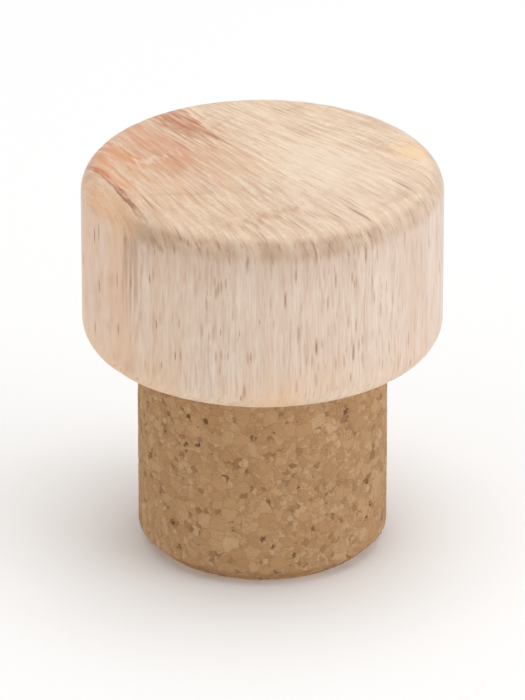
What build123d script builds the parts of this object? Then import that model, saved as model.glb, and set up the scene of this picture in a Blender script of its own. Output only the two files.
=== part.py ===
from build123d import *
import os

# A bottle stopper: a turned beech head with a cork shank glued into a shallow socket in its underside.
# The origin is the centre of the seat, the flat underside of the head that lies on the bottle's lip.
# +Z runs up the stopper's axis, out of the bottle. All sizes are in millimetres.

# Head, turned from one piece of beech with its grain along the axis
head_diameter = 28.0
head_height = 14.5
top_edge_round = 2.0
seat_edge_round = 2.0

# Socket in the underside of the head, with its sharp edge broken
socket_diameter = 19.0
socket_depth = 3.0
socket_edge_break = 0.4

# Shank, a plain plug of pressed cork for a wine bottle's 18.5 mm mouth
shank_diameter = 19.5
shank_reach = 17.0
shank_tip_break = 1.2

# Room for glue between the squeezed end of the shank and the wall of its socket
glue_gap = 0.05


def turned_cylinder(diameter, low, high):
    """A plain cylinder about the stopper's axis, from one height to another."""
    return Pos(0, 0, low) * Cylinder(
        diameter / 2,
        high - low,
        align=(Align.CENTER, Align.CENTER, Align.MIN),
    )


def make_head():
    """The head: a short cylinder with both rims rounded, and the shank's socket bored from below."""
    blank = turned_cylinder(head_diameter, 0, head_height)
    top_rim = blank.edges().group_by(Axis.Z)[-1]
    head = fillet(top_rim, top_edge_round)
    seat_rim = head.edges().group_by(Axis.Z)[0]
    head = fillet(seat_rim, seat_edge_round)

    head -= turned_cylinder(socket_diameter, 0, socket_depth)
    socket_rim = head.edges().group_by(Axis.Z)[0].sort_by(SortBy.RADIUS)[0]
    return chamfer(socket_rim, socket_edge_break)


def make_shank():
    """The shank: free below the seat, and squeezed narrower where the socket grips it."""
    free_length = turned_cylinder(shank_diameter, -shank_reach, 0)
    tip_rim = free_length.edges().group_by(Axis.Z)[0]
    free_length = chamfer(tip_rim, shank_tip_break)

    squeezed_diameter = socket_diameter - 2 * glue_gap
    return free_length + turned_cylinder(squeezed_diameter, 0, socket_depth)


os.makedirs("parts", exist_ok=True)
stopper = {
    "wooden_head": make_head(),
    "cork_shank": make_shank(),
}
for name, solid in stopper.items():
    export_step(solid, f"parts/{name}.step")
    print(name, "volume", round(solid.volume, 1), "mm3")
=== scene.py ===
# %% [markdown]
# # A turned bottle stopper, step by step
#
# The real thing is two pieces. The head is a short disc of beech, turned and sanded, with its grain
# standing upright. The shank is a plug of pressed cork, glued into a shallow socket under the head.
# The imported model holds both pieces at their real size. Here they get their surfaces: the marks that
# the grain leaves in the wood, the granules of the cork, and light soft enough to show them.

# %% The frame that everything is built around
import math
from types import SimpleNamespace
import bpy
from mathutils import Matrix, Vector


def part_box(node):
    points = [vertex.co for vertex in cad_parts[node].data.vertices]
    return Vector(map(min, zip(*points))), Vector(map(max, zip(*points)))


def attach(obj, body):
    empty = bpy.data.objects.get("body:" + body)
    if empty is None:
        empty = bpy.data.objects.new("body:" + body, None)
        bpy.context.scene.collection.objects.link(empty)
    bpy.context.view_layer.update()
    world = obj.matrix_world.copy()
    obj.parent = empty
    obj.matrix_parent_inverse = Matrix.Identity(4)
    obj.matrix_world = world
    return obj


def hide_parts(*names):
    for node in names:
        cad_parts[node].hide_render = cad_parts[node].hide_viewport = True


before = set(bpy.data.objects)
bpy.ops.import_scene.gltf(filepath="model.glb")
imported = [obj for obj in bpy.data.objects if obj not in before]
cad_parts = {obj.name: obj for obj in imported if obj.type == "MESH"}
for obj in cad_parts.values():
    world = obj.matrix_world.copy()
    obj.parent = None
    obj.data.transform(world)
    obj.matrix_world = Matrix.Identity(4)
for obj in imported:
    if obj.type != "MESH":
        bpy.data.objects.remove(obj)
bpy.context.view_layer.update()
print("nodes:", sorted(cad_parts))

# %% [markdown]
# ## Sizes
#
# The sizes are read from the frame where it has them. A radius comes from a piece's box, and it is
# the smallest of the box's four sides, because a round piece made of flat facets is a hair narrower
# one way than the other. The rounds and the socket can't be read from a box, so they are written
# here, as a maker marks them on a drawing. Blender counts in metres, and `MM` turns millimetres
# into metres.

# %% Sizes, in metres
MM = 0.001


def radius_of(low, high):
    """The radius of an upright round piece, from the corners of its box."""
    return min(-low.x, -low.y, high.x, high.y)


head_low, head_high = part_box("wooden_head")
shank_low, shank_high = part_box("cork_shank")
head_radius = radius_of(head_low, head_high)
head_height = head_high.z
shank_radius = radius_of(shank_low, shank_high)
shank_foot = shank_low.z
socket_depth = shank_high.z

rim_round = 2.0 * MM
socket_radius = 9.5 * MM
socket_edge_break = 0.4 * MM
squeezed_radius = 9.45 * MM
foot_break = 1.2 * MM
print("head", round(head_radius / MM, 2), "x", round(head_height / MM, 2), "mm")
print("shank", round(shank_radius / MM, 2), "mm radius, foot at", round(shank_foot / MM, 2), "mm")

# %% [markdown]
# ## Two small helpers
#
# Colours are written as sRGB hex, the way a picture shows them, but Blender's nodes work in linear
# light, so one function turns the first into the second, with the numbers of the sRGB standard.
# Node trees are built in the script, and one more function adds a node with its own settings and
# fills its inputs. An input may be a plain value, another node's output, or simply another node,
# whose first output is then meant, so that a chain of nodes reads like a chain of steps.

# %% Helpers
def linear(hex_colour):
    """A colour such as #e9d0b8 as the linear red, green, blue and alpha that nodes use."""
    parts = [int(hex_colour[i:i + 2], 16) / 255 for i in (1, 3, 5)]
    return [p / 12.92 if p <= 0.04045 else ((p + 0.055) / 1.055) ** 2.4 for p in parts] + [1.0]


def add(tree, kind, inputs=None, **settings):
    """A new node. settings are its own options, and inputs fills its sockets."""
    made = tree.nodes.new(kind)
    for name, value in settings.items():
        setattr(made, name, value)
    for name, value in (inputs or {}).items():
        if isinstance(value, bpy.types.Node):
            value = value.outputs[0]
        if isinstance(value, bpy.types.NodeSocket):
            tree.links.new(value, made.inputs[name])
        else:
            made.inputs[name].default_value = value
    return made


print("beech tone in linear light:", [round(c, 3) for c in linear("#e9d0b8")])

# %% [markdown]
# ## A lathe made of nodes
#
# Both pieces are turned: a profile swept once round the axis. Blender has several ways to do that.
# The Spin tool and the Screw modifier are quick, but they space their rows only as the profile's own
# points are spaced. Here a node tree does it. It takes the profile's corners, rounds each by its own
# radius, lays a flat grid on the result and bends the grid round the axis. The rows are then evenly
# spaced, close enough for the surface to carry real relief later. Corners are the input, so the same
# lathe turns the head and the shank.

# %% The lathe
fillet_steps = 24


def new_tree(name, sockets):
    """An empty group of geometry nodes with its named inputs, and one geometry output."""
    tree = bpy.data.node_groups.new(name, "GeometryNodeTree")
    for label, socket_kind in sockets.items():
        tree.interface.new_socket(label, in_out="INPUT", socket_type="NodeSocket" + socket_kind)
    tree.interface.new_socket("Geometry", in_out="OUTPUT", socket_type="NodeSocketGeometry")
    return tree


def end_tree(tree, geometry, material):
    """Ends a tree: real geometry with its material set."""
    real = add(tree, "GeometryNodeRealizeInstances", {"Geometry": geometry})
    painted = add(tree, "GeometryNodeSetMaterial", {"Geometry": real, "Material": material})
    add(tree, "NodeGroupOutput", {"Geometry": painted})
    return tree


def lathe_tree():
    """Corners in the XZ plane, from axis to axis, become a closed turned skin."""
    tree = new_tree("lathe", {
        "Geometry": "Geometry", "Columns": "Int", "Rows": "Int", "Weld distance": "Float",
        "Material": "Material",
    })
    given = add(tree, "NodeGroupInput").outputs
    profile = add(tree, "GeometryNodeMeshToCurve", {"Mesh": given["Geometry"]})
    own_round = add(tree, "GeometryNodeInputNamedAttribute", {"Name": "round"}, data_type="FLOAT")
    rounded = add(tree, "GeometryNodeFilletCurve", {
        "Curve": profile, "Radius": own_round.outputs["Attribute"], "Count": fillet_steps,
    }, mode="POLY")
    columns = add(tree, "ShaderNodeMath", {0: given["Columns"], 1: 1.0}, operation="ADD")
    grid = add(tree, "GeometryNodeMeshGrid", {
        "Size X": 1.0, "Size Y": 1.0, "Vertices X": columns, "Vertices Y": given["Rows"],
    })
    flat = add(tree, "ShaderNodeSeparateXYZ", {0: add(tree, "GeometryNodeInputPosition")}).outputs
    along = add(tree, "ShaderNodeMath", {0: flat["Y"], 1: 0.5}, operation="ADD")
    around = add(tree, "ShaderNodeMath", {0: flat["X"], 1: 2 * math.pi}, operation="MULTIPLY")
    point = add(tree, "GeometryNodeSampleCurve", {
        "Curves": rounded, "Factor": along,
    }, mode="FACTOR", use_all_curves=True)
    turned = add(tree, "ShaderNodeVectorRotate", {
        "Vector": point.outputs["Position"], "Angle": around,
    }, rotation_type="Z_AXIS")
    bent = add(tree, "GeometryNodeSetPosition", {"Geometry": grid, "Position": turned})
    welded = add(tree, "GeometryNodeMergeByDistance", {
        "Geometry": bent, "Distance": given["Weld distance"],
    })
    outward = add(tree, "GeometryNodeFlipFaces", {"Mesh": welded})
    smooth = add(tree, "GeometryNodeSetShadeSmooth", {"Geometry": outward})
    return end_tree(tree, smooth, given["Material"])


lathe = lathe_tree()
print("lathe:", len(lathe.nodes), "nodes")

# %% [markdown]
# ## Running a tree
#
# A modifier's inputs are found by each socket's own identifier and set before the object is first
# looked at. The result is then copied into a plain mesh and the modifier is dropped. The corners of a
# profile are a chain of loose edges, with each corner's own radius kept beside it as an attribute that
# the lathe reads.

# %% From a tree to a plain mesh
def grow(tree, piece, values):
    """Runs a node tree on a piece and keeps the result as its plain mesh."""
    modifier = piece.modifiers.new(tree.name, "NODES")
    modifier.node_group = tree
    for socket in tree.interface.items_tree:
        if socket.in_out == "INPUT" and socket.name in values:
            modifier[socket.identifier] = values[socket.name]
    graph = bpy.context.evaluated_depsgraph_get()
    mesh = bpy.data.meshes.new_from_object(piece.evaluated_get(graph))
    piece.modifiers.clear()
    piece.data = mesh
    return piece


def chain(name, corners):
    """An object whose mesh is a chain of edges, from (radius, height, rounding) corners."""
    mesh = bpy.data.meshes.new(name)
    points = [(x, 0.0, z) for x, z, rounding in corners]
    edges = [(i, i + 1) for i in range(len(points) - 1)]
    mesh.from_pydata(points, edges, [])
    rounds = mesh.attributes.new("round", "FLOAT", "POINT")
    rounds.data.foreach_set("value", [rounding for x, z, rounding in corners])
    piece = bpy.data.objects.new(name, mesh)
    bpy.context.scene.collection.objects.link(piece)
    return piece


def triangles(piece):
    """How many triangles a piece has."""
    return sum(len(face.vertices) - 2 for face in piece.data.polygons)


print("inputs of the lathe:", [s.name for s in lathe.interface.items_tree if s.in_out == "INPUT"])

# %% [markdown]
# ## The two turned pieces
#
# The head's profile goes down its outside, with both rims rounded, under it to the socket and up the
# socket's wall. The plug's goes down its squeezed end, steps out to its full width at the head's
# seat, and ends in a small break at the foot that helps it into a neck. Columns round the axis and
# rows along the profile are about a fifth of a millimetre apart. That is enough for dents half a
# millimetre wide, and finer marks are left to the material.

# %% Turning the head and the shank
columns = 512
rows = 176
weld = 0.001 * MM

head_corners = [
    (0, head_height, 0),
    (head_radius, head_height, rim_round),
    (head_radius, 0, rim_round),
    (socket_radius + socket_edge_break, 0, 0),
    (socket_radius, socket_edge_break, 0),
    (socket_radius, socket_depth, 0),
    (0, socket_depth, 0),
]
shank_corners = [
    (0, socket_depth, 0),
    (squeezed_radius, socket_depth, 0),
    (squeezed_radius, 0, 0),
    (shank_radius, 0, 0),
    (shank_radius, shank_foot + foot_break, 0),
    (shank_radius - foot_break, shank_foot, 0),
    (0, shank_foot, 0),
]


def turn(name, corners, material):
    """A turned piece from the corners of its profile."""
    return grow(lathe, chain(name, corners), {
        "Columns": columns, "Rows": rows, "Weld distance": weld, "Material": material,
    })


beech = bpy.data.materials.new("turned_beech")
cork = bpy.data.materials.new("pressed_cork")
head = turn("turned_head", head_corners, beech)
shank = turn("pressed_cork_plug", shank_corners, cork)
print("head:", triangles(head), "triangles, shank:", triangles(shank), "triangles")

# %% [markdown]
# ## The two steps that every pattern needs
#
# A natural surface is many weak patterns laid over each other. Nearly all of the work is two steps.
# The first asks where something shows: several conditions, each easing from 0 to 1, multiplied
# together. A plain threshold would leave hard edges, so a smooth step is used. The second adds
# patterns up, each with its own weight.

# %% Products and sums
def where(tree, *parts):
    """How far all of the parts hold, from 0 to 1: their product.

    A part is a number, an output or a node, or (value, low, high), which eases from 0 to 1 while
    the value goes from low to high. (value, low, high, start, end) eases from start to end.
    """
    result = None
    for part in parts:
        if isinstance(part, tuple):
            value, low, high, *ends = part
            start, end = ends or (0.0, 1.0)
            part = add(tree, "ShaderNodeMapRange", {
                "Value": value, "From Min": low, "From Max": high, "To Min": start, "To Max": end,
            }, interpolation_type="SMOOTHSTEP")
        if result is None:
            result = part
        else:
            result = add(tree, "ShaderNodeMath", {0: result, 1: part}, operation="MULTIPLY")
    return result


def total(tree, start, *pairs):
    """start plus each value times its weight, from (value, weight) pairs."""
    result = start
    for value, weight in pairs:
        result = add(tree, "ShaderNodeMath", {
            0: value, 1: weight, 2: result,
        }, operation="MULTIPLY_ADD")
    return result


def in_millimetres(tree, metres):
    """A place in metres as one in millimetres."""
    return add(tree, "ShaderNodeVectorMath", {0: metres, "Scale": 1 / MM}, operation="SCALE")


print("patterns are written in millimetres, each", MM, "of a Blender unit")

# %% [markdown]
# ## How beech is built
#
# Beech is easy to know by its rays: thin upright ribbons of other cells that run from the middle of
# the trunk outwards. Seen on end they are fine straight lines, seen from outside they are short dark
# spindles, and seen from the flank they are broad flecks. One solid pattern gives all three, because
# the ribbon is the same. So the wood is described in its own directions: across the rings, along the
# rings, and up the trunk. The head was sawn some five centimetres from the middle of the trunk, so
# rings and rays cross it almost straight. A little noise lets the grain wander, as it does in a tree.

# %% Directions in the wood
pith = (-31.0, 42.0)
pith_distance = math.hypot(*pith)
noise_middle = (0.5, 0.5, 0.5)
# Noise that moves a place: its waves and its reach in millimetres, its detail and its roughness.
grain_wander = ((11.0, 11.0, 44.0), (0.7, 0.7, 0.0), 1.0, 0.5)


def stirred(tree, place, waves, reach, detail, roughness):
    """A place moved about by noise, in waves of three sizes and by up to half of three reaches."""
    spread = add(tree, "ShaderNodeVectorMath", {0: place, 1: waves}, operation="DIVIDE")
    noise = add(tree, "ShaderNodeTexNoise", {
        "Vector": spread, "Scale": 1.0, "Detail": detail, "Roughness": roughness,
    })
    centred = add(tree, "ShaderNodeVectorMath", {
        0: noise.outputs["Color"], 1: noise_middle,
    }, operation="SUBTRACT")
    return add(tree, "ShaderNodeVectorMath", {
        0: centred, 1: reach, 2: place,
    }, operation="MULTIPLY_ADD")


def grain(tree, place):
    """Millimetres across the rings, along the rings and up the trunk, for a place."""
    moved = stirred(tree, place, *grain_wander)
    from_pith = add(tree, "ShaderNodeVectorMath", {0: moved, 1: (*pith, 0.0)}, operation="SUBTRACT")
    split = add(tree, "ShaderNodeSeparateXYZ", {0: from_pith}).outputs
    level = add(tree, "ShaderNodeCombineXYZ", {"X": split["X"], "Y": split["Y"]})
    across = add(tree, "ShaderNodeVectorMath", {0: level}, operation="LENGTH").outputs["Value"]
    angle = add(tree, "ShaderNodeMath", {0: split["Y"], 1: split["X"]}, operation="ARCTAN2")
    along = total(tree, 0.0, (angle, pith_distance))
    return add(tree, "ShaderNodeCombineXYZ", {"X": across, "Y": along, "Z": split["Z"]})


print("the pith lies", round(pith_distance, 1), "mm from the head's axis")

# %% [markdown]
# ## The marks that the pattern gives
#
# Nearly every mark is used twice: once to push the surface in, and once to colour it, so that a
# fleck is a dent as well as a dark spot. The few broad rays and the many fine ones between them are
# blobs of a Voronoi pattern, squeezed thin along the rings and pulled long the other two ways. The
# open pores are such blobs too, dots on end grain and short upright dashes on the side. The streaks
# between them are stretched noise, and the thin line at the end of each year is faint in beech. Two
# of the marks are drawn coarser than they are, because the render couldn't show them: real pores
# are 0.06 mm wide and are drawn at about twice that, and the finest fibres are 0.02 mm wide and are
# drawn at about five times that.

# %% Rays, pores, streaks and rings
# Sizes are in millimetres: across the rings, along them, and up the trunk.
# Blobs: spacing, mean half width as a share of it, and the random numbers of a pale and a dark one.
strong_ray = ((8.0, 0.50, 4.0), 0.23, 0.3, 1.0)
fine_ray = ((4.2, 0.26, 2.2), 0.30, 0.1, 0.9)
open_pore = ((0.45, 0.30, 2.6), 0.27, 0.4, 0.95)
blob_edge = (0.3, 1.0, 1.0, 0.0)
# Streaks: sizes, fine detail, and the noise at which they begin and are full.
ray_streak = ((3.6, 0.46, 15.0), 2.0, 0.34, 0.66)
ring_streak = ((0.7, 4.0, 15.0), 2.0, 0.28, 0.72)
hair_line = ((4.5, 0.20, 4.0), 3.0, 0.50, 0.72)
fine_fibre = ((0.40, 0.12, 1.6), 2.0, 0.35, 0.65)
year_drift = ((6.0, 9.0, 40.0), 0.0, 0.28, 0.72)
year_strength = ((4.0, 8.0, 60.0), 0.0, 0.45, 0.70)
streak_roughness = 0.6
ray_share = 0.84
# Years: how far apart they are, and where in a year the late wood grows and ends.
ring_width = 2.9
late_wood_grows = (0.62, 0.88)
late_wood_ends = (0.88, 1.0, 1.0, 0.0)


def blobs(tree, place, spacing, half_width, pale, dark):
    """Blobs of one kind, 1 inside and 0 outside, from half to one and a half of their mean width.

    Each blob has a random number of its own: up to pale it doesn't show, and from dark on it shows
    fully.
    """
    spread = add(tree, "ShaderNodeVectorMath", {0: place, 1: spacing}, operation="DIVIDE")
    cells = add(tree, "ShaderNodeTexVoronoi", {"Vector": spread, "Scale": 1.0}).outputs
    own = add(tree, "ShaderNodeSeparateXYZ", {0: cells["Color"]}).outputs
    reach = total(tree, 0.5 * half_width, (own["Y"], half_width))
    part = add(tree, "ShaderNodeMath", {0: cells["Distance"], 1: reach}, operation="DIVIDE")
    return where(tree, (part, *blob_edge), (own["X"], pale, dark))


def streaks(tree, place, sizes, detail, low, high):
    """Soft streaks of one kind, from 0 to 1."""
    spread = add(tree, "ShaderNodeVectorMath", {0: place, 1: sizes}, operation="DIVIDE")
    noise = add(tree, "ShaderNodeTexNoise", {
        "Vector": spread, "Scale": 1.0, "Detail": detail, "Roughness": streak_roughness,
    })
    return where(tree, (noise.outputs["Fac"], low, high))


def fibres(tree, wood):
    """Broad streaks along the rays and up the trunk, and a few along the rings, from 0 to 1."""
    along_rays = streaks(tree, wood, *ray_streak)
    along_rings = streaks(tree, wood, *ring_streak)
    return total(tree, 0.0, (along_rays, ray_share), (along_rings, 1.0 - ray_share))


def late_wood(tree, wood):
    """The thin denser line at the end of each year, 0 to 1, in some years faint."""
    across = add(tree, "ShaderNodeSeparateXYZ", {0: wood}).outputs["X"]
    years = total(tree, streaks(tree, wood, *year_drift), (across, 1 / ring_width))
    part = add(tree, "ShaderNodeMath", {0: years}, operation="FRACT")
    strength = streaks(tree, wood, *year_strength)
    return where(tree, (part, *late_wood_grows), (part, *late_wood_ends), strength)


print("rays every", strong_ray[0][1], "and", fine_ray[0][1], "mm along the rings")

# %% [markdown]
# ## How the surface cuts the grain
#
# The same ray looks different on each face, and so does the wood between. So the finished skin
# carries three numbers. `end` is 1 on end grain and 0 on the upright side, `flank` is 1 where the
# side lies flat along the rays, and `up` is 1 on top and -1 underneath. All three come from the
# surface's own direction, before the relief disturbs it. Fibres tear where a rim is rounded, between
# end grain and side, so the rims take a little more wear. The relief only ever goes inward, which
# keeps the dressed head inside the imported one.

# %% Relief of the wood
rays_sink_less_on_flank = (0.55, 0.95, 1.0, 0.2)
rim_begins = (0.1, 0.6)
rim_ends = (0.8, 0.98, 1.0, 0.0)
nick = ((1.3, 1.3, 1.6), 2.0, 0.28, 0.72)
nick_opens = (0.4, 1.0)


def surface_lie(tree, place, normal):
    """How end grain, flank and top a surface is, by its direction in the wood."""
    up = add(tree, "ShaderNodeSeparateXYZ", {0: normal}).outputs["Z"]
    end = add(tree, "ShaderNodeMath", {0: up}, operation="ABSOLUTE")
    from_pith = add(tree, "ShaderNodeVectorMath", {0: place, 1: (*pith, 0.0)}, operation="SUBTRACT")
    level = add(tree, "ShaderNodeVectorMath", {
        0: from_pith, 1: (1.0, 1.0, 0.0),
    }, operation="MULTIPLY")
    ray_way = add(tree, "ShaderNodeVectorMath", {0: level}, operation="NORMALIZE")
    ring_way = add(tree, "ShaderNodeVectorMath", {
        0: ray_way, 1: (0.0, 0.0, 1.0),
    }, operation="CROSS_PRODUCT")
    facing = add(tree, "ShaderNodeVectorMath", {0: normal, 1: ring_way}, operation="DOT_PRODUCT")
    flank = add(tree, "ShaderNodeMath", {0: facing.outputs["Value"]}, operation="ABSOLUTE")
    return {"end": end, "flank": flank, "up": up}


def sink(tree, skin, normal, depth, material):
    """Pushes a skin in by a depth, never out, and ends the tree."""
    inward = add(tree, "ShaderNodeVectorMath", {
        0: normal, "Scale": total(tree, 0.0, (depth, -1.0)),
    }, operation="SCALE")
    pushed = add(tree, "GeometryNodeSetPosition", {"Geometry": skin, "Offset": inward})
    return end_tree(tree, pushed, material)


def wood_relief_tree():
    """Pushes a turned head's skin in where the grain has its marks."""
    tree = new_tree("wood relief", {
        "Geometry": "Geometry", "Streak depth": "Float", "Ray depth": "Float",
        "Wear depth": "Float", "Material": "Material",
    })
    given = add(tree, "NodeGroupInput").outputs
    place = in_millimetres(tree, add(tree, "GeometryNodeInputPosition"))
    normal = add(tree, "GeometryNodeInputNormal").outputs["Normal"]
    lie = surface_lie(tree, place, normal)
    skin = given["Geometry"]
    for name, value in lie.items():
        skin = add(tree, "GeometryNodeStoreNamedAttribute", {
            "Geometry": skin, "Name": name, "Value": value,
        }, data_type="FLOAT", domain="POINT")

    wood = grain(tree, place)
    rays = blobs(tree, wood, *strong_ray)
    rays = where(tree, rays, (lie["flank"], *rays_sink_less_on_flank))
    on_rim = where(tree, (lie["end"], *rim_begins), (lie["end"], *rim_ends))
    nicks = where(tree, (streaks(tree, place, *nick), *nick_opens))
    depth = total(
        tree, 0.0,
        (fibres(tree, wood), given["Streak depth"]),
        (rays, given["Ray depth"]),
        (where(tree, on_rim, nicks), given["Wear depth"]),
    )
    return sink(tree, skin, normal, depth, given["Material"])


head = grow(wood_relief_tree(), head, {
    "Streak depth": 0.008 * MM, "Ray depth": 0.02 * MM, "Wear depth": 0.04 * MM, "Material": beech,
})
print("head after its relief:", triangles(head), "triangles")

# %% [markdown]
# ## Pressed cork
#
# The plug is ground cork pressed with a little binder, then cut and ground round. It shows as a
# mosaic: granules of half a millimetre to a millimetre and a half, each its own tan, with faint
# seams, a few dark crumbs of bark and some small holes where a crumb fell out. A Voronoi pattern has
# the same shapes. Two are laid over each other, a coarse one and a fine one, and each coarse granule
# is either whole or split into fine ones. Noise bends both, so that no granule is straight sided.

# %% Granules
coarse_granule = 0.95
fine_granule = 0.48
whole_share = 0.4
seam_width = 0.07
granule_wander = ((0.30, 0.30, 0.30), (0.50, 0.50, 0.50), 3.0, 0.65)
lost_chance = (0.965, 0.97)


def mosaic(tree, place, size):
    """Granules of one size: each one's three random numbers, and how deep in a seam a place is."""
    spread = add(tree, "ShaderNodeVectorMath", {0: place, 1: (size, size, size)}, operation="DIVIDE")
    own = add(tree, "ShaderNodeTexVoronoi", {"Vector": spread, "Scale": 1.0}).outputs["Color"]
    edge = add(tree, "ShaderNodeTexVoronoi", {
        "Vector": spread, "Scale": 1.0,
    }, feature="DISTANCE_TO_EDGE")
    seam = where(tree, (edge.outputs["Distance"], 0.0, seam_width / size, 1.0, 0.0))
    return own, seam


def granules(tree, place):
    """The two mosaics as one: three random numbers each, the seams, and 1 where it is fine."""
    bent = stirred(tree, place, *granule_wander)
    coarse, coarse_seam = mosaic(tree, bent, coarse_granule)
    fine, fine_seam = mosaic(tree, bent, fine_granule)
    chance = add(tree, "ShaderNodeSeparateXYZ", {0: coarse}).outputs["X"]
    split = add(tree, "ShaderNodeMath", {0: chance, 1: whole_share}, operation="GREATER_THAN")
    own = add(tree, "ShaderNodeMix", {0: split, 4: coarse, 5: fine}, data_type="VECTOR").outputs[1]
    inner_seam = where(tree, fine_seam, split)
    seam = add(tree, "ShaderNodeMath", {0: coarse_seam, 1: inner_seam}, operation="MAXIMUM")
    return add(tree, "ShaderNodeSeparateXYZ", {0: own}).outputs, seam, split


def lost_crumbs(tree, own, seam, fine):
    """1 inside the few fine granules that fell out, about one in thirty."""
    inside = total(tree, 1.0, (seam, -1.0))
    return where(tree, (own["Y"], *lost_chance), fine, inside)


print("granules of", coarse_granule, "mm, or split into", fine_granule, "mm")

# %% [markdown]
# ## Relief of the cork
#
# A real plug is ground, so its granules stand almost level, each a few hundredths of a millimetre
# higher or lower than the next, with the seams a little sunk. A crumb that fell out leaves a hole
# with the crumb's own shape. The same three numbers of each granule that set its tan later also set
# how it lies, so relief and colour agree.

# %% Sinking the seams and the holes
def cork_relief_tree():
    """Sinks the seams, sets each granule a hair higher or lower, and opens a few holes."""
    tree = new_tree("cork relief", {
        "Geometry": "Geometry", "Seam depth": "Float", "Level depth": "Float",
        "Hole depth": "Float", "Material": "Material",
    })
    given = add(tree, "NodeGroupInput").outputs
    place = in_millimetres(tree, add(tree, "GeometryNodeInputPosition"))
    normal = add(tree, "GeometryNodeInputNormal").outputs["Normal"]
    own, seam, fine = granules(tree, place)
    depth = total(
        tree, 0.0,
        (seam, given["Seam depth"]),
        (own["X"], given["Level depth"]),
        (lost_crumbs(tree, own, seam, fine), given["Hole depth"]),
    )
    return sink(tree, given["Geometry"], normal, depth, given["Material"])


shank = grow(cork_relief_tree(), shank, {
    "Seam depth": 0.04 * MM, "Level depth": 0.04 * MM, "Hole depth": 0.18 * MM, "Material": cork,
})
print("shank after its relief:", triangles(shank), "triangles")

# %% [markdown]
# ## Colours in layers
#
# Both finishes are painted the same way: a ground colour, and then one thin layer after another,
# each with a mask that says where it lies and how strongly. A paint is written as its colour, or as
# its colour and its strength where it is thinner. That is how a real finish builds up, and each
# layer can be turned off alone to see what it does. Reading a place from the piece's own
# coordinates makes the pattern solid, so top, side and underside cut through the same wood.

# %% Layers and surfaces
relief_strength = 0.6


def over(tree, under, hex_colour, *parts):
    """A hex colour laid over another colour, as far as all of the parts hold.

    A Mix node has sockets for every kind of data. Its colours are numbers 6 and 7, and output 2.
    """
    return add(tree, "ShaderNodeMix", {
        0: where(tree, *parts), 6: under, 7: linear(hex_colour),
    }, data_type="RGBA").outputs[2]


def emptied(owner):
    """The node tree of a material or a world, with nothing in it."""
    owner.use_nodes = True
    owner.node_tree.nodes.clear()
    return owner.node_tree


def object_place(tree):
    """The place on the piece, in millimetres."""
    return in_millimetres(tree, add(tree, "ShaderNodeTexCoord").outputs["Object"])


def surface(tree, colour, height, reach, values):
    """A shader with a colour and fine relief. Its plain values are set on the shader itself."""
    relief = add(tree, "ShaderNodeBump", {
        "Height": height, "Strength": relief_strength, "Distance": reach,
    })
    shader = add(tree, "ShaderNodeBsdfPrincipled", {
        "Base Color": colour, "Normal": relief, **values,
    })
    add(tree, "ShaderNodeOutputMaterial", {"Surface": shader})


print("fine relief at a strength of", relief_strength)

# %% [markdown]
# ## What each layer of the wood asks
#
# Before painting, the tree reads once what every layer needs: the place, the directions in the wood,
# the three numbers that the skin carries, and the shared patterns of fibre. `calm` is 1 on the flat
# faces and lower on the rims, where the crisp lines of the grain blur.

# %% Reading the head
blur_begins = (0.05, 0.4)
blur_ends = (0.8, 1.0, 1.0, 0.0)
blur_on_rim = 0.6


def read_head(tree):
    """Everything that the layers of the wood ask about a place on the head."""
    at = SimpleNamespace(place=object_place(tree))
    at.wood = grain(tree, at.place)
    way = add(tree, "ShaderNodeSeparateXYZ", {0: at.wood}).outputs
    at.across = way["X"]
    at.along = way["Y"]
    at.high = add(tree, "ShaderNodeSeparateXYZ", {0: at.place}).outputs["Z"]
    at.end, at.flank, at.up = (
        add(tree, "ShaderNodeAttribute", attribute_name=name).outputs["Fac"]
        for name in ("end", "flank", "up")
    )
    at.fibre = fibres(tree, at.wood)
    at.lines = streaks(tree, at.wood, *hair_line)
    at.fuzz = streaks(tree, at.wood, *fine_fibre)
    rim = where(tree, (at.end, *blur_begins), (at.end, *blur_ends))
    at.calm = total(tree, 1.0, (rim, -blur_on_rim))
    return at


print("the skin carries:", [a.name for a in head.data.attributes if a.name in ("end", "flank", "up")])

# %% [markdown]
# ## The ground of the wood
#
# Plain sanded beech is a pale cream, a little pinker on the side than on end grain. The side's cream
# is also greyer, which is a painted sheen of glancing light. Streaks of tan follow the fibres,
# strongest on top. Over them lie wide soft clouds, then the hair lines, the finest fibres, and last
# the faint line of each year.

# %% Ground and streaks
# The side's cream holds a painted sheen: it is greyer than the end grain's.
side_cream_and_painted_sheen = "#eddccd"
end_cream = "#fde8cd"
streak_tan = "#d2b192"
cloud_pink = ("#e6c6ad", 0.30)
line_brown = ("#b88d6a", 0.36)
fibre_brown = ("#b28a69", 0.20)
year_brown = "#b98f68"
soft_cloud = ((7.0, 3.0, 25.0), 2.0, 0.28, 0.72)
# Streaks and years are stronger on end grain: from and to this much of `end`, at these strengths.
streaks_by_face = (0.5, 1.0, 0.32, 0.78)
years_by_face = (0.0, 1.0, 0.14, 0.30)


def bare_wood(tree, at):
    """The colour of the wood between its rays."""
    # On the side the cream is greyer, a painted sheen of glancing light.
    colour = over(tree, linear(side_cream_and_painted_sheen), end_cream, at.end)
    colour = over(tree, colour, streak_tan, at.fibre, (at.end, *streaks_by_face))
    colour = over(tree, colour, *cloud_pink, streaks(tree, at.wood, *soft_cloud))
    colour = over(tree, colour, *line_brown, at.lines, at.calm)
    colour = over(tree, colour, *fibre_brown, at.fuzz)
    return over(tree, colour, year_brown, late_wood(tree, at.wood), (at.end, *years_by_face))


print("ground:", side_cream_and_painted_sheen, "on the side,", end_cream, "on top")

# %% [markdown]
# ## The red heart
#
# The red heart of the tree shows at one edge, with a dark ray beside it. A tree's heart is as solid
# as its grain, so it isn't a spot on the top. It is named here as columns that stand in the wood
# with the grain, each with its place seen from above, its reach along the rays and across them, its
# colour and its strength. They come out on top and on the side below alike. Noise pulls their edges
# into fingers along the rays, as the stain really creeps.

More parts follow.
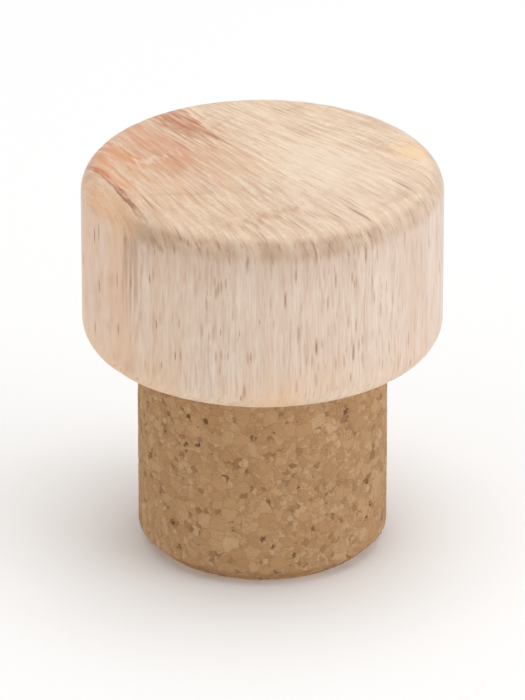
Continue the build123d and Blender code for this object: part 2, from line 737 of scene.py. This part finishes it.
# %% Tints in the wood
tints = [
    # place seen from above, half its length along the rays, half its width, colour, strength
    ((3.5, 0.5), 6.5, 4.5, "#fbebd0", 0.45),
    ((2.0, 11.0), 6.0, 6.0, "#f8dfbe", 0.15),
    ((8.0, -4.0), 8.0, 6.0, "#f0d3bf", 0.32),
    ((-6.5, -6.5), 9.0, 6.0, "#e6b88f", 0.18),
    ((-8.5, 3.8), 10.5, 8.5, "#e2b08b", 0.50),
    ((-3.0, 1.8), 5.5, 3.2, "#d9b28e", 0.20),
    ((-8.4, 3.8), 6.0, 2.5, "#d88b63", 0.46),
    ((-6.0, 7.0), 3.6, 2.2, "#aa6a40", 0.50),
    ((-6.6, 8.9), 3.6, 2.0, "#c0603e", 0.50),
    ((-11.2, 2.3), 3.6, 1.2, "#e08848", 0.50),
    ((-11.9, -0.9), 4.4, 1.1, "#e3935c", 0.50),
    ((-12.4, -6.6), 9.5, 1.6, "#eec09a", 0.66),
    ((-9.1, 1.4), 0.45, 2.8, "#f7dfca", 0.50),
    ((0.6, -8.9), 0.45, 3.2, "#c79a72", 0.50),
    ((-12.4, -1.4), 3.0, 0.34, "#cf7440", 0.75),
    ((-11.2, -4.4), 4.0, 0.30, "#9a4f2b", 0.80),
    ((-9.6, -7.6), 2.0, 0.34, "#9c6a4a", 0.65),
    ((11.6, 2.6), 2.0, 1.6, "#ffd8a6", 0.65),
]
finger_wander = ((5.0, 0.5, 25.0), (5.0, 0.5, 0.0), 3.0, 0.6)
breaking_streak = ((3.0, 0.42, 9.0), 3.0, 0.28, 0.72)
raggedness = 0.5
fibre_in_tints = 0.5
# A column is whole up to 0.4 of its reach and gone at 1.2. On top it is stronger and more ragged.
column_edge = (0.40, 1.20, 1.0, 0.0)
ragged_by_face = (0.1, 0.8, 0.35, 1.0)
strength_by_face = (0.1, 0.8, 0.40, 0.70)


def in_wood(x, y):
    """Millimetres across and along the rings, for one place seen from above."""
    across = math.hypot(x - pith[0], y - pith[1])
    along = math.atan2(y - pith[1], x - pith[0]) * pith_distance
    return across, along


def column(tree, wood, place, half_length, half_width):
    """How far a place is from an upright column in the wood, 1 at the column's edge."""
    across, along = in_wood(*place)
    centred = add(tree, "ShaderNodeVectorMath", {
        0: wood, 1: (across, along, 0.0),
    }, operation="SUBTRACT")
    scaled = add(tree, "ShaderNodeVectorMath", {
        0: centred, 1: (1 / half_length, 1 / half_width, 0.0),
    }, operation="MULTIPLY")
    return add(tree, "ShaderNodeVectorMath", {0: scaled}, operation="LENGTH").outputs["Value"]


def red_heart(tree, at, colour):
    """Lays the tints over the wood, with edges that break up into streaks."""
    fingers = stirred(tree, at.wood, *finger_wander)
    broken = streaks(tree, at.wood, *breaking_streak)
    in_and_out = total(tree, raggedness, (broken, -2 * raggedness))
    ragged = where(tree, in_and_out, (at.end, *ragged_by_face))
    uneven = total(tree, where(tree, (at.end, *strength_by_face)), (at.fibre, fibre_in_tints))
    for place, half_length, half_width, tone, strength in tints:
        away = column(tree, fingers, place, half_length, half_width)
        away = total(tree, away, (ragged, 1.0))
        colour = over(tree, colour, tone, strength, (away, *column_edge), uneven)
    return colour


print("tints in the wood:", len(tints))

# %% [markdown]
# ## Rays and pores
#
# On the side the rays are short dark dashes, and on top they are thin lines. Where the side lies
# flat along them they turn into pale broad flecks, so they fade there. They also thin out towards
# the right side of the head, where the photographed wood is calmer.

# %% Painting rays and pores
fine_ray_brown = ("#ac7d5b", 0.58)
strong_ray_brown = ("#9c6c4c", 0.65)
pore_brown = "#8f6445"
fading_on_flank = (0.55, 0.95, 1.0, 0.35)
calmer_side = (-53.0, -45.0, 1.0, 0.5)
pores_by_face = (0.2, 0.8, 0.75, 0.22)


def rays_and_pores(tree, at, colour):
    """Paints the marks, and keeps them for the fine relief."""
    shown = where(tree, (at.flank, *fading_on_flank))
    fewer = where(tree, (at.along, *calmer_side))
    at.strong = where(tree, blobs(tree, at.wood, *strong_ray), shown)
    at.fine = where(tree, blobs(tree, at.wood, *fine_ray), shown, fewer)
    at.pore = where(tree, blobs(tree, at.wood, *open_pore), fewer)
    colour = over(tree, colour, *fine_ray_brown, at.fine)
    colour = over(tree, colour, *strong_ray_brown, at.strong, at.calm)
    return over(tree, colour, pore_brown, at.pore, (at.end, *pores_by_face))


print("rays fade on the flank to", fading_on_flank[-1], "of their strength")

# %% [markdown]
# ## The worn rim
#
# Fibres stand on end on the top and lie along the side, and a turning tool tears them where it goes
# round from one to the other. The front of the rim is painted a broken brown band, weaker towards the
# right, with single tears hanging from it. It stops just past the dark ray. From there on the rim is a
# clean tan, and a few brown hairs run down the side. Places are given along the rings: the front of
# the head is at about -56, its right side reaches from -46 to -39, and its left flank lies beyond -62.
# Heights on the rim are given by `up`, 0 on the side and 1 on the top.

# %% Painting the rim
band_brown = ("#a07a58", 0.52)
tear_brown = ("#80593b", 0.55)
clean_tan = ("#cf9868", 0.42)
patch = ((2.4, 0.9, 5.0), 1.0, 0.28, 0.72)
tear = ((1.0, 0.26, 2.6), 2.0, 0.50, 0.72)
# The least of the band and of the clean tan, and what their patches and lines add.
band_least = 0.5
band_patches = 0.6
tan_least = 0.75
tan_lines = 0.7

# Along the rings.
past_dark_ray = (-62.3, -61.3)
left_of_dark_ray = (-61.7, -61.1, 1.0, 0.0)
tears_grow_from_ray = (-61.6, -59.5, 0.45, 1.0)
weaker_to_the_right = (-49.0, -41.0, 1.0, 0.50)
# Across the rings.
on_the_front_half = (47.0, 52.0)
# Up the rim.
band_begins = (0.0, 0.45)
band_ends = (0.72, 0.99, 1.0, 0.0)
tears_begin = (0.0, 0.25)
tears_end = (0.70, 0.92, 1.0, 0.0)
tan_begins = (0.0, 0.8)


def worn_rim(tree, at, colour):
    """The torn band and its tears, and the clean tan rim past the dark ray."""
    at.before_ray = where(tree, (at.along, *past_dark_ray))
    side = where(
        tree, at.before_ray, (at.along, *weaker_to_the_right), (at.across, *on_the_front_half),
    )
    band = where(tree, (at.up, *band_begins), (at.up, *band_ends), side)
    hanging = where(
        tree, (at.up, *tears_begin), (at.up, *tears_end), side, (at.along, *tears_grow_from_ray),
    )
    patchy = total(tree, band_least, (streaks(tree, at.wood, *patch), band_patches))
    streaky = total(tree, tan_least, (at.lines, tan_lines))
    colour = over(tree, colour, *band_brown, band, patchy)
    colour = over(tree, colour, *tear_brown, hanging, streaks(tree, at.wood, *tear))
    left = (at.along, *left_of_dark_ray)
    return over(tree, colour, *clean_tan, left, (at.up, *tan_begins), streaky)


print("the torn band ends at", past_dark_ray[0], "mm along the rings")

# %% [markdown]
# ## Painted shade, a painted warm reflection and a few brown hairs
#
# The upper part of the front is painted a little greyer, as painted shade below the rim. Low on the
# side, soft warm clouds are a painted reflection of warm light. Without these two the side looks
# painted in one tone. The brown hairs are dark fibres that show where the side cuts along the wood
# beside the dark ray, so they are as thin as the fibres and long up the trunk.

# %% Painting the shade, the warm reflection and the hairs
# Painted shade below the front rim, a painted warm reflection low on the side, and the brown hairs.
painted_shade_grey = ("#b3927a", 0.22)
painted_warm_reflection = ("#f0c79b", 0.60)
hair_brown = ("#8f6c51", 0.36)
reflection_cloud = ((7.0, 7.0, 7.0), 2.0, 0.28, 0.72)
hair = ((9.0, 0.15, 9.0), 2.0, 0.42, 0.60)

front = (-53.0, -47.0, 1.0, 0.2)
top_edge = head_height / MM
# The painted shade lies from 5 to 1.5 mm below the top edge, and is weaker on the top.
painted_shade_height = (top_edge - 5.0, top_edge - 1.5)
painted_shade_less_on_top = (0.70, 0.95, 1.0, 0.6)
# The painted warm reflection is strongest at the foot of the head and gone 5.5 mm up.
reflection_height = (0.5, 5.5, 1.0, 0.0)
hairs_from = (-62.4, -62.1)
hairs_to = (-61.75, -61.35, 1.0, 0.0)
hairs_across = (51.0, 53.5)
hairs_height = (4.0, 9.0)
hairs_below_rim = (0.05, 0.5, 1.0, 0.0)


def painted_shade_and_reflection(tree, at, colour):
    """Painted shade that greys the upper front, and a painted warm reflection in clouds low on the
    side.
    """
    in_front = where(tree, (at.along, *front))
    # Painted shade: the upper front is greyed below the rim.
    colour = over(
        tree, colour, *painted_shade_grey, (at.high, *painted_shade_height), in_front,
        (at.up, *painted_shade_less_on_top), at.before_ray,
    )
    # Painted reflection: warm clouds low on the front of the side.
    clouds = streaks(tree, at.place, *reflection_cloud)
    return over(tree, colour, *painted_warm_reflection, (at.high, *reflection_height), clouds, in_front)


def brown_hairs(tree, at, colour):
    """The few brown lines that run down the side, beside the dark ray."""
    hairs = streaks(tree, at.wood, *hair)
    beside = where(
        tree, (at.along, *hairs_from), (at.along, *hairs_to), (at.across, *hairs_across),
        (at.high, *hairs_height), (at.up, *hairs_below_rim),
    )
    return over(tree, colour, *hair_brown, beside, hairs)


# Prints how far up the painted shade below the rim begins.
print("handled from", round(painted_shade_height[0], 1), "mm up")

# %% [markdown]
# ## The finish of the wood
#
# The head is plain sanded beech with no lacquer. Sanding leaves it matt, with a weak soft shine, and
# raises a fine nap of fibres that catches light at a glancing angle, so the outline is a little
# paler than the middle. The sheen stands for that nap. The fine relief presses in the rays, the
# pores, the hair lines and the finest fibres, each by its own share. The shares are negative,
# because all of these are dents.

# %% Beech
dents = {"strong": -0.6, "fine": -0.4, "pore": -0.8, "lines": -0.2, "fuzz": -0.2}
beech_dent = 0.04 * MM


def finish_beech(material):
    """Plain sanded beech, colours and fine relief."""
    tree = emptied(material)
    at = read_head(tree)
    colour = bare_wood(tree, at)
    # Among the layers are painted shade on the upper front and a painted warm reflection low on the
    # side.
    for layer in (red_heart, rays_and_pores, worn_rim, painted_shade_and_reflection, brown_hairs):
        colour = layer(tree, at, colour)
    height = total(tree, 0.0, *((getattr(at, mark), share) for mark, share in dents.items()))
    # Sanded and not lacquered: matt, with a weak soft shine and a pale nap at a glancing angle.
    surface(tree, colour, height, beech_dent, {
        "Roughness": 0.62, "IOR": 1.5, "Specular IOR Level": 0.4,
        "Sheen Weight": 0.30, "Sheen Roughness": 0.3,
    })
    return len(tree.nodes)


print("beech:", finish_beech(beech), "nodes")

# %% [markdown]
# ## The finish of the cork
#
# Ground cork is dull and warm. Each granule takes its tan from its own random number, and about one
# fine granule in fifteen is a dark crumb of bark. Inside a granule the mottling stands for the
# cork's cells. Those are a few hundredths of a millimetre wide, too small to show, so they are drawn
# about four times as coarse. The seams are only a shade darker than the granules, because the binder
# is clear, and that darkening is painted shade in the sunk seams.

# %% Cork
granule_tones = [
    (0.00, "#b58b62"), (0.25, "#bd946a"), (0.50, "#c39b71"), (0.80, "#caa47b"), (1.00, "#d3b089"),
]
bark_brown = ("#80573a", 0.70)
cell_tan = ("#a67b53", 0.42)
cloud_tan = ("#c69c6c", 0.25)
# The seams' brown is painted shade in the sunk seams.
seam_shade_brown = ("#8d653f", 0.22)
pit_brown = ("#6f4a30", 0.65)
# The holes' dark brown is painted shade in the sunk holes of lost crumbs.
hole_shade_brown = ("#5c3a24", 0.75)
bark_chance = (0.90, 0.96)
cell = ((0.14, 0.14, 0.14), 3.0, 0.28, 0.72)
cork_cloud = ((2.5, 2.5, 2.5), 2.0, 0.28, 0.72)
pit = ((0.55, 0.55, 0.40), 0.20, 0.45, 0.9)
seam_share = -0.7
cell_share = -1.0
cork_dent = 0.05 * MM


def granule_colour(tree, chance):
    """A tan for each granule, from its random number."""
    tone = add(tree, "ShaderNodeValToRGB", {"Fac": chance})
    ramp = tone.color_ramp.elements
    while len(ramp) < len(granule_tones):
        ramp.new(1.0)
    for element, (position, hex_colour) in zip(ramp, granule_tones):
        element.position = position
        element.color = linear(hex_colour)
    return tone


def finish_cork(material):
    """Ground cork, pressed and sanded."""
    tree = emptied(material)
    place = object_place(tree)
    own, seam, fine = granules(tree, place)
    mottle = streaks(tree, place, *cell)
    colour = granule_colour(tree, own["Z"])
    colour = over(tree, colour, *bark_brown, (own["X"], *bark_chance), fine)
    colour = over(tree, colour, *cell_tan, mottle)
    colour = over(tree, colour, *cloud_tan, streaks(tree, place, *cork_cloud))
    # Painted shade in the sunk seams.
    colour = over(tree, colour, *seam_shade_brown, seam)
    colour = over(tree, colour, *pit_brown, blobs(tree, place, *pit))
    # Painted shade in the holes where crumbs fell out.
    colour = over(tree, colour, *hole_shade_brown, lost_crumbs(tree, own, seam, fine))
    height = total(tree, 0.0, (seam, seam_share), (mottle, cell_share))
    # Ground, not coated: dull, with hardly any shine.
    surface(tree, colour, height, cork_dent, {
        "Roughness": 0.8, "IOR": 1.45, "Specular IOR Level": 0.3,
    })
    return len(tree.nodes)


print("cork:", finish_cork(cork), "nodes")

# %% [markdown]
# ## Putting the pieces in their places
#
# The turned pieces already lie where the imported ones do, so nothing is moved. Each one stands for
# its imported node and rides on the only body.

# %% Pieces and nodes
for piece, node, slot in ((head, "wooden_head", "beech"), (shank, "cork_shank", "pressed_cork")):
    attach(piece, "root")
    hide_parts(node)
    print(piece.name, "stands for", node)

# %% [markdown]
# ## The paper floor
#
# The stopper stands on its cork foot on a sheet of white paper. Looked at straight, the paper is a
# paler white than the one that it throws back at the wood, so the background is white without more
# light on the wood. The paper is clear from below, so that the underside can be looked at. It is
# also clear to light that starts within a third of a millimetre of it, because the foot stands on
# it and would otherwise look black from below.

# %% Paper floor
floor_reach = 1.6
touching = 0.3 * MM
paper_white = "#f3f2f0"
seen_white = "#fdfdfc"

corners = [(-1, -1), (1, -1), (1, 1), (-1, 1)]
floor_points = [(x * floor_reach, y * floor_reach, shank_foot) for x, y in corners]
floor_mesh = bpy.data.meshes.new("floor")
floor_mesh.from_pydata(floor_points, [], [(0, 1, 2, 3)])
floor = bpy.data.objects.new("floor", floor_mesh)
bpy.context.scene.collection.objects.link(floor)

paper = bpy.data.materials.new("white_paper")
tree = emptied(paper)
path = add(tree, "ShaderNodeLightPath").outputs
tone = over(tree, linear(paper_white), seen_white, path["Is Camera Ray"])
sheet = add(tree, "ShaderNodeBsdfPrincipled", {"Base Color": tone, "Roughness": 0.9})
clear = add(tree, "ShaderNodeBsdfTransparent")
from_below = add(tree, "ShaderNodeNewGeometry").outputs["Backfacing"]
under_foot = add(tree, "ShaderNodeMath", {
    0: path["Ray Length"], 1: touching,
}, operation="LESS_THAN")
unseen = add(tree, "ShaderNodeMath", {0: from_below, 1: under_foot}, operation="MAXIMUM")
either = add(tree, "ShaderNodeMixShader", {0: unseen, 1: sheet, 2: clear})
add(tree, "ShaderNodeOutputMaterial", {"Surface": either})
floor_mesh.materials.append(paper)

print("floor at", round(shank_foot / MM, 2), "mm")

# %% [markdown]
# ## The pale room
#
# Light comes from all sides in a room. An environment picture could give it, but plain white does
# the same here and needs no file. It is kept low, because the lamps add their light to it, and
# only what is looked at straight is raised to white, behind the stopper and its floor.

# %% Room light
room_light = 0.66
room_white = "#ffffff"
room = bpy.data.worlds.new("pale room")
bpy.context.scene.world = room
tree = emptied(room)
path = add(tree, "ShaderNodeLightPath").outputs
light = add(tree, "ShaderNodeBackground", {"Color": linear(room_white), "Strength": room_light})
seen = add(tree, "ShaderNodeBackground", {"Color": linear(seen_white), "Strength": 1.0})
either = add(tree, "ShaderNodeMixShader", {0: path["Is Camera Ray"], 1: light, 2: seen})
add(tree, "ShaderNodeOutputWorld", {"Surface": either})
print("room light:", room_light)

# %% [markdown]
# ## Lamps
#
# The light is a studio's: a wide soft lamp overhead, one at the right that is a little cooler, and a
# weak one at the left. So the top is the brightest and the left side a little darker. Large lamps
# close by give soft shadows, and each one is turned to face the middle of the head.

# %% Three soft lamps
lamp_size = 0.5
lamps = [
    # name, place in metres, watts, tint
    ("overhead", (0.05, 0.05, 0.75), 1.8, "#ffffff"),
    ("right", (0.65, -0.25, 0.25), 1.6, "#f2f6ff"),
    ("left", (-0.60, -0.45, 0.25), 0.5, "#ffffff"),
]


def turned_to(place, target):
    """The turn of a lamp or a camera at a place, so that it faces a target."""
    return (Vector(target) - Vector(place)).to_track_quat("-Z", "Y").to_euler()


def soft_lamp(name, place, watts, tint):
    """A square lamp that faces the head."""
    lamp = bpy.data.lights.new(name, "AREA")
    lamp.color = linear(tint)[:3]
    lamp.shape = "SQUARE"
    lamp.size = lamp_size
    lamp.energy = watts
    holder = bpy.data.objects.new(name, lamp)
    holder.location = place
    holder.rotation_euler = turned_to(place, (0, 0, head_height / 2))
    bpy.context.scene.collection.objects.link(holder)


for name, place, watts, tint in lamps:
    soft_lamp(name, place, watts, tint)
    print(name, "lamp:", watts, "W")

# %% [markdown]
# ## Camera
#
# The camera looks down on the head's top by 25 degrees from over half a metre away, through a long
# lens. That keeps the sides upright, as in the photograph, while the stopper fills the frame.

# %% Camera
camera_distance = 0.574
camera_angle = math.radians(24.75)
lens = 384.0

back = Vector((0, -math.cos(camera_angle), math.sin(camera_angle)))
camera = bpy.data.objects.new("camera", bpy.data.cameras.new("camera"))
camera.data.lens = lens
camera.location = Vector((0, 0, head_height)) + back * camera_distance
camera.rotation_euler = turned_to(camera.location, (0, 0, (head_height + shank_foot) / 2))
bpy.context.scene.collection.objects.link(camera)
bpy.context.scene.camera = camera
bpy.context.scene.view_settings.view_transform = "Standard"
print("camera", camera_distance, "m from the head")
